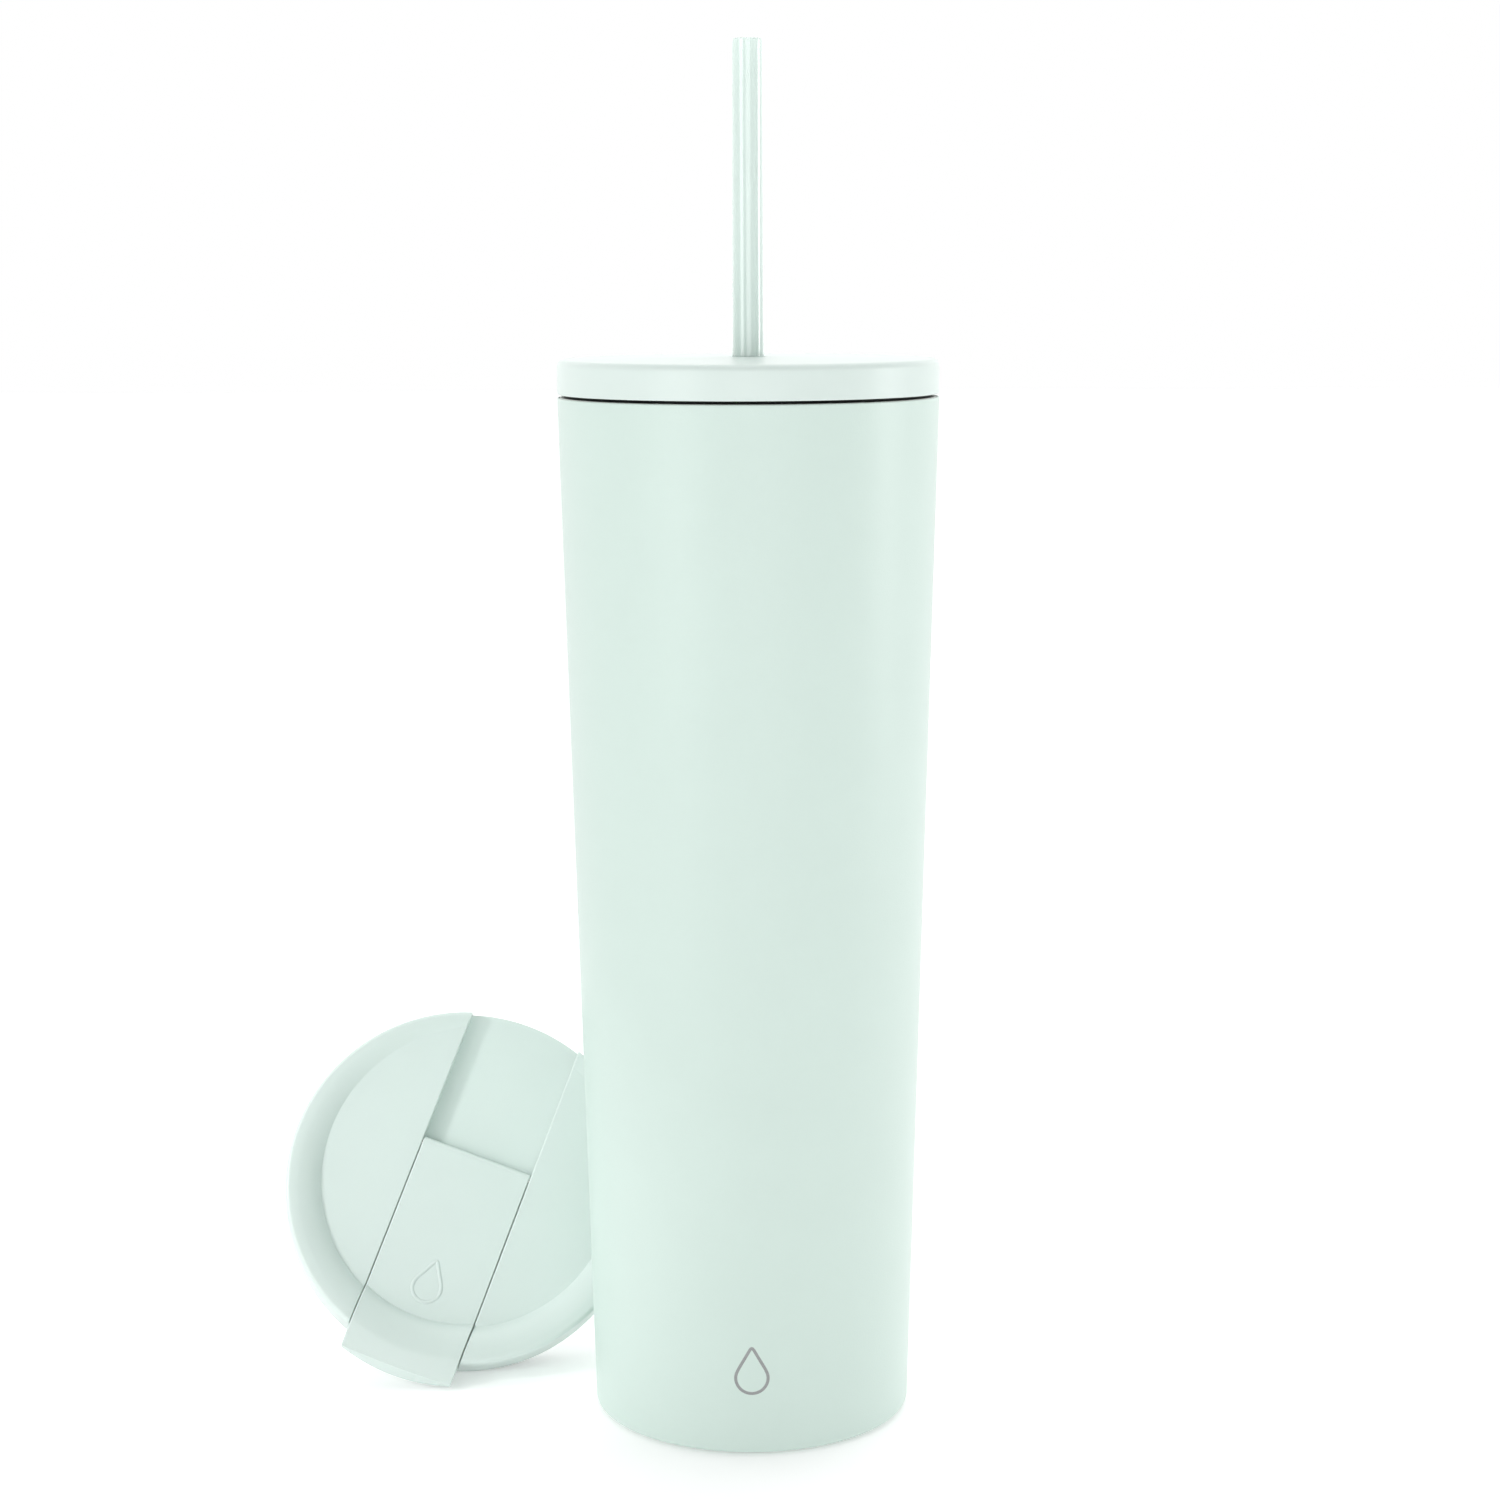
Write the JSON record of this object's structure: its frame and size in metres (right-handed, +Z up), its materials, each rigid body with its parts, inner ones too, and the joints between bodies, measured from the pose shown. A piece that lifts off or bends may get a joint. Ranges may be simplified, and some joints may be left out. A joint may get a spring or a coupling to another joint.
{
  "type": "insulated tumbler with lid",
  "caption": "Tapered double-wall steel tumbler with press-in straw lid, sliding straw and a spare dished flip lid standing beside it.",
  "frame": {"origin": "centre of the tumbler's base, on the surface it stands on", "axes": "+Z up along the tumbler's axis, -Y towards the viewer, the flip lid on the -X side"},
  "size_m": [0.1617, 0.1105, 0.3228],
  "materials": {
    "powder_coat": "fine satin powder coat, pale mint",
    "steel": "brushed stainless steel",
    "steel_pin": "ground stainless steel",
    "copper_foil": "thin bright copper foil",
    "seal_glass": "dark sealing glass",
    "lid_plastic": "fine satin moulded polypropylene, pale mint",
    "plug_plastic": "satin moulded polypropylene, pale mint",
    "straw_plastic": "glossy, slightly translucent mint",
    "black_silicone": "matt black silicone",
    "clear_silicone": "milky translucent silicone"
  },
  "bodies": {
    "tumbler": {"outer_shell": "powder_coat", "outer_base": "steel", "base_cover": "steel", "vacuum_seal": "seal_glass", "getter": "steel", "getter_strap": "steel", "heat_shield": "copper_foil", "inner_liner": "steel"},
    "straw_lid": {"straw_lid_cap": "lid_plastic", "straw_lid_plug": "plug_plastic", "straw_lid_gasket": "clear_silicone", "straw_lid_rim_seal": "black_silicone", "straw_grommet": "clear_silicone"},
    "straw": {"straw": "straw_plastic"},
    "flip_lid": {"flip_lid_cap": "lid_plastic", "flip_lid_plug": "plug_plastic", "flip_lid_gasket": "clear_silicone", "flip_lid_rim_seal": "black_silicone", "hinge_pin": "steel_pin"},
    "flip_tab": {"flip_tab": "lid_plastic", "spout_seal": "clear_silicone", "vent_seal": "clear_silicone"}
  },
  "joints": [
    {"name": "straw_lid_lift", "type": "slide", "parent": "tumbler", "child": "straw_lid", "axis": [0, 0, 1], "range_m": [0, 0.25]},
    {"name": "straw_slide", "type": "slide", "parent": "straw_lid", "child": "straw", "axis": [0, 0, 1], "range_m": [0, 0.04]},
    {"name": "flip_lid_away", "type": "slide", "parent": "tumbler", "child": "flip_lid", "axis": [-1, 0, 0], "range_m": [0, 0.12]},
    {"name": "flip_tab_hinge", "type": "hinge", "parent": "flip_lid", "child": "flip_tab", "pos_m": [-0.06982, 0.03488, 0.04834], "axis": [-0.9373, 0.0674, 0.3419], "range_deg": [0, 175]}
  ]
}
